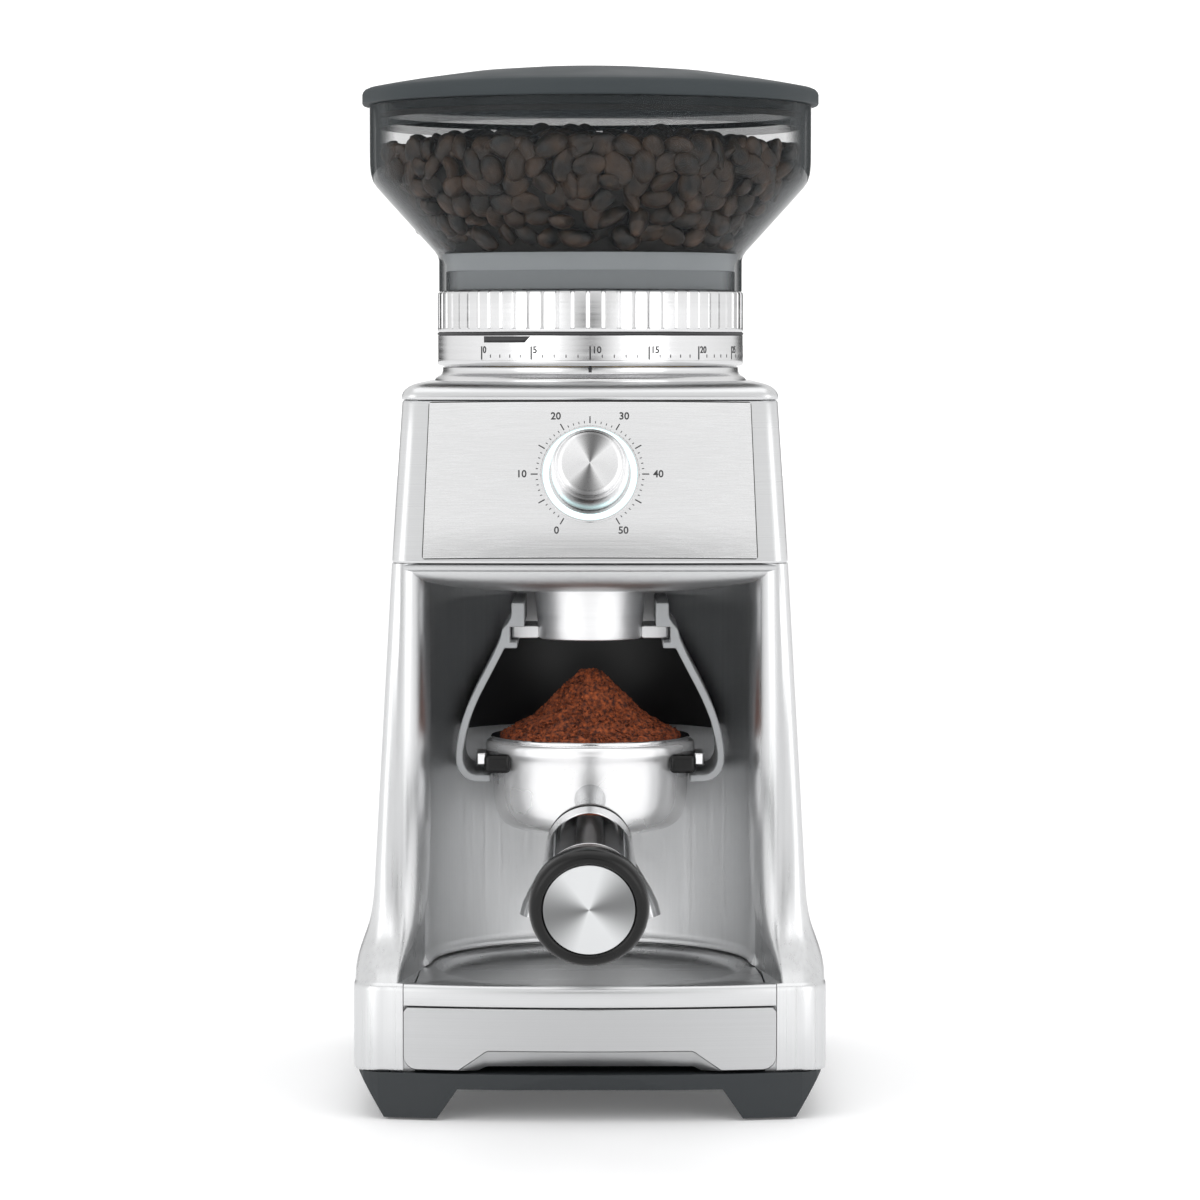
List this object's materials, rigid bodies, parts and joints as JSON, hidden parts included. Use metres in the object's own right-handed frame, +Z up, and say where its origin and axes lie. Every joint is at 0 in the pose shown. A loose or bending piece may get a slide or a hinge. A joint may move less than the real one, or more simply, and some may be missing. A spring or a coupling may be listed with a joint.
{
  "type": "burr coffee grinder",
  "caption": "Free-standing conical burr coffee grinder with a clear bean hopper, grind collar, dosing timer knob and a cradle that holds a portafilter under the outlet.",
  "frame": {"origin": "on the floor, at the centre of the whole outline seen from above", "axes": "+X to the right, +Y from the front to the back, +Z up along the height"},
  "size_m": [0.1624, 0.306, 0.3586],
  "materials": {
    "slate_plastic": "fine moulded texture",
    "rubber": "matte",
    "brushed_shell": "fine horizontal brushing",
    "brushed_liner": "fine brushing, soft sheen",
    "brushed_panel": "fine horizontal brushing",
    "glow": "glowing pale blue-white",
    "collar_metal": "satin, machined",
    "steel_inner": "machined",
    "black_inner": "matte",
    "brass": "machined",
    "nylon": "moulded",
    "board": "lacquered",
    "smoke_clear": "clear smoky plastic",
    "smoke_lid": "smoky plastic, satin",
    "beans": "roasted, oily",
    "cradle_plastic": "moulded, satin",
    "chrome": "polished",
    "black_gloss": "polished",
    "ground_coffee": "granular"
  },
  "bodies": {
    "root": {"base_plate": "slate_plastic", "rubber_feet": "rubber", "base_screws": "steel_inner", "body_shell": "brushed_shell", "recess_tub": "brushed_shell", "recess_liner": "brushed_liner", "front_plate": "brushed_shell", "head_shell": "brushed_shell", "control_panel": "brushed_panel", "light_ring": "glow", "top_cover": "brushed_shell", "neck_ring": "collar_metal", "rear_cover": "slate_plastic", "cord_gland": "rubber", "outlet_chute": "brushed_liner", "cradle_rail": "brushed_liner", "chassis": "steel_inner", "vibration_dampers": "rubber", "gearbox_case": "steel_inner", "gearbox_screws": "steel_inner", "grind_chamber": "nylon", "shaft_bearings": "steel_inner", "motor_bracket": "steel_inner", "motor_can": "steel_inner", "motor_magnets": "black_inner", "motor_bearings": "steel_inner", "control_board": "board", "rotary_encoder": "nylon", "start_switch": "black_inner", "power_board": "board"},
    "grind_collar": {"scale_ring": "collar_metal", "grip_ring": "collar_metal", "adjuster_nut": "brass"},
    "burr_carrier": {"burr_carrier": "steel_inner", "ring_burr": "steel_inner"},
    "burr_drive": {"burr_shaft": "steel_inner", "drive_gear": "nylon", "impeller": "nylon", "cone_burr": "steel_inner", "burr_bolt": "steel_inner"},
    "motor_drive": {"motor_rotor": "steel_inner", "motor_pinion": "brass"},
    "hopper": {"hopper": "smoke_clear", "coffee_beans": "beans"},
    "hopper_lid": {"hopper_lid": "smoke_lid", "lid_seal": "rubber"},
    "knob_push": {"knob_plunger": "steel_inner"},
    "timer_knob": {"timer_knob": "collar_metal"},
    "grinds_tray": {"grinds_tray": "brushed_shell"},
    "cradle": {"portafilter_cradle": "cradle_plastic"},
    "portafilter": {"portafilter_head": "chrome", "filter_basket": "chrome", "ground_coffee": "ground_coffee", "twin_spout": "chrome", "portafilter_neck": "chrome", "portafilter_handle": "black_gloss", "handle_sleeve": "chrome", "handle_end_cap": "collar_metal"}
  },
  "joints": [
    {"name": "collar_turn", "type": "hinge", "parent": "root", "child": "grind_collar", "pos_m": [0, 0.067, 0.266], "axis": [0, 0, 1], "range_deg": [-220, 44]},
    {"name": "carrier_lift", "type": "slide", "parent": "root", "child": "burr_carrier", "axis": [0, 0, 1], "range_m": [-0.0005, 0.0024]},
    {"name": "motor_spin", "type": "hinge", "parent": "root", "child": "motor_drive", "pos_m": [0, 0.102, 0.2], "axis": [0, 0, 1], "continuous": true},
    {"name": "burr_spin", "type": "hinge", "parent": "root", "child": "burr_drive", "pos_m": [0, 0.067, 0.2], "axis": [0, 0, 1], "continuous": true},
    {"name": "hopper_lift", "type": "slide", "parent": "grind_collar", "child": "hopper", "axis": [0, 0, 1], "range_m": [0, 0.08]},
    {"name": "lid_lift", "type": "slide", "parent": "hopper", "child": "hopper_lid", "axis": [0, 0, 1], "range_m": [0, 0.06]},
    {"name": "knob_press", "type": "slide", "parent": "root", "child": "knob_push", "axis": [0, 0.9681, -0.2504], "range_m": [0, 0.0015], "stiffness_N_per_m": 600, "springref_m": -0.0015},
    {"name": "knob_turn", "type": "hinge", "parent": "knob_push", "child": "timer_knob", "pos_m": [0, -0.0175, 0.217], "axis": [0, -0.9681, 0.2504], "range_deg": [-150, 150]},
    {"name": "tray_slide", "type": "slide", "parent": "root", "child": "grinds_tray", "axis": [0, -1, 0], "range_m": [0, 0.12]},
    {"name": "cradle_slide", "type": "slide", "parent": "root", "child": "cradle", "axis": [0, -1, 0], "range_m": [0, 0.11]},
    {"name": "portafilter_slide", "type": "slide", "parent": "cradle", "child": "portafilter", "axis": [0, -1, 0], "range_m": [0, 0.12]}
  ],
  "couplings": [
    {"joint": "carrier_lift", "follows": "collar_turn", "m_per_rad": -0.0006},
    {"joint": "burr_spin", "follows": "motor_spin", "ratio": -0.25}
  ]
}
